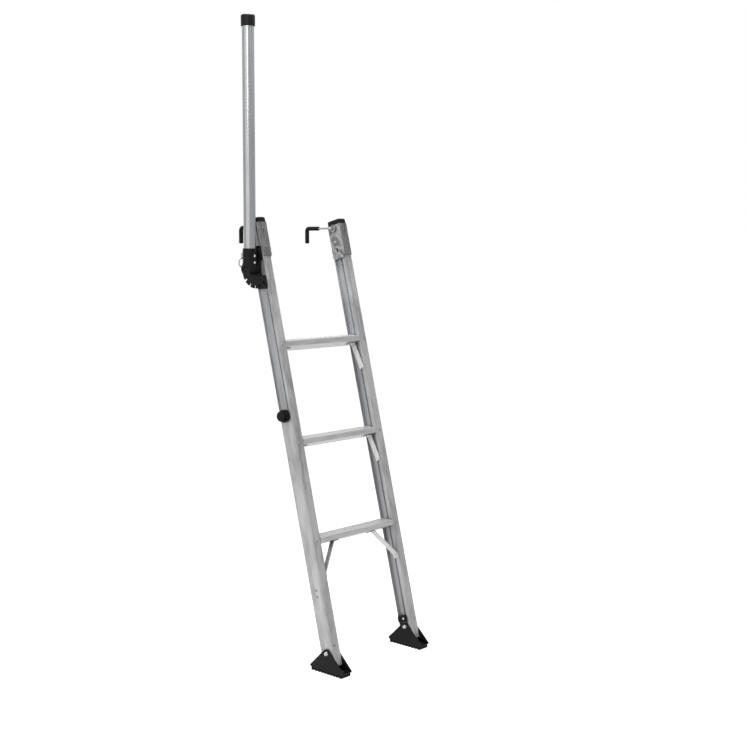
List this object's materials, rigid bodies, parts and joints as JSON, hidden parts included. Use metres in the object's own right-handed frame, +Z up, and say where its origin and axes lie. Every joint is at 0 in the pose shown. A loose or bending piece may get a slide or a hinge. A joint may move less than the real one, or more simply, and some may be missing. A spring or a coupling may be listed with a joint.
{
  "type": "truck ladder",
  "caption": "Leaning aluminium ladder for a truck's load bed, with level ribbed treads, fold-down hooks, self-levelling feet and a folding handrail with an index lock.",
  "frame": {"origin": "on the ground, under the middle of the object's box", "axes": "+X along the rungs to the right of someone climbing, +Y towards the truck, +Z up"},
  "size_m": [0.4618, 0.5094, 2.0131],
  "materials": {
    "stile_aluminium": "mill finish",
    "strip_aluminium": "mill finish",
    "rung_aluminium": "mill finish",
    "strut_aluminium": "satin",
    "pole_aluminium": "anodised",
    "holder_casting": "cast",
    "black_plastic": "moulded",
    "black_rubber": "matt",
    "hook_steel": "zinc plated",
    "fastener_steel": "bright",
    "dark_steel": "blackened",
    "ring_steel": "plated"
  },
  "bodies": {
    "frame": {"base_bolts": "dark_steel", "bottom_left_strut": "strut_aluminium", "bottom_right_strut": "strut_aluminium", "bottom_rung": "rung_aluminium", "handrail_base": "black_plastic", "handrail_pivot_bolt": "dark_steel", "holder_rivets": "fastener_steel", "knob_insert": "fastener_steel", "left_channel_plug": "black_plastic", "left_channel_strip": "strip_aluminium", "left_foot_rivet": "fastener_steel", "left_hook_holder": "holder_casting", "left_stile": "stile_aluminium", "left_top_cap": "black_plastic", "middle_left_strut": "strut_aluminium", "middle_right_strut": "strut_aluminium", "middle_rung": "rung_aluminium", "plug_screws": "fastener_steel", "right_channel_plug": "black_plastic", "right_channel_strip": "strip_aluminium", "right_foot_rivet": "fastener_steel", "right_hook_holder": "holder_casting", "right_stile": "stile_aluminium", "right_top_cap": "black_plastic", "rung_bolts": "dark_steel", "strip_rivets": "dark_steel", "strut_rivets": "fastener_steel", "top_left_strut": "strut_aluminium", "top_right_strut": "strut_aluminium", "top_rung": "rung_aluminium"},
    "handrail": {"handrail_socket": "black_plastic", "socket_rivets": "fastener_steel", "handrail_pole": "pole_aluminium", "pole_cap": "black_plastic", "lock_cap": "black_plastic", "lock_spring": "ring_steel"},
    "lock_pin": {"lock_pin": "ring_steel"},
    "pull_ring": {"pull_ring": "ring_steel"},
    "knob": {"knob": "black_plastic", "knob_stud": "fastener_steel"},
    "left_foot": {"left_foot_shoe": "black_plastic", "left_foot_tread": "black_rubber", "left_tread_screws": "dark_steel"},
    "left_hook": {"left_hook": "hook_steel", "left_hook_sleeve": "black_rubber", "left_hook_retainer": "hook_steel"},
    "right_foot": {"right_foot_shoe": "black_plastic", "right_foot_tread": "black_rubber", "right_tread_screws": "dark_steel"},
    "right_hook": {"right_hook": "hook_steel", "right_hook_sleeve": "black_rubber", "right_hook_retainer": "hook_steel"}
  },
  "joints": [
    {"name": "handrail_swing", "type": "hinge", "parent": "frame", "child": "handrail", "pos_m": [-0.1796, 0.12029, 1.23812], "axis": [-1, 0, 0], "range_deg": [0, 190]},
    {"name": "lock_pin_slide", "type": "slide", "parent": "handrail", "child": "lock_pin", "axis": [1, 0, 0], "range_m": [0, 0.005]},
    {"name": "pull_ring_swing", "type": "hinge", "parent": "lock_pin", "child": "pull_ring", "pos_m": [-0.2126, 0.15029, 1.27212], "axis": [1, 0, 0], "range_deg": [-8, 75]},
    {"name": "knob_turn", "type": "hinge", "parent": "frame", "child": "knob", "pos_m": [-0.1796, -0.00644, 0.78427], "axis": [1, 0, 0], "continuous": true},
    {"name": "left_foot_swivel", "type": "hinge", "parent": "frame", "child": "left_foot", "pos_m": [-0.1641, -0.18469, 0.064], "axis": [1, 0, 0], "range_deg": [-30, 30]},
    {"name": "left_hook_fold", "type": "hinge", "parent": "frame", "child": "left_hook", "pos_m": [-0.1486, 0.13769, 1.3667], "axis": [-1, 0, 0], "range_deg": [0, 104]},
    {"name": "right_foot_swivel", "type": "hinge", "parent": "frame", "child": "right_foot", "pos_m": [0.2049, -0.18469, 0.064], "axis": [1, 0, 0], "range_deg": [-30, 30]},
    {"name": "right_hook_fold", "type": "hinge", "parent": "frame", "child": "right_hook", "pos_m": [0.1894, 0.13769, 1.3667], "axis": [-1, 0, 0], "range_deg": [0, 104]}
  ]
}
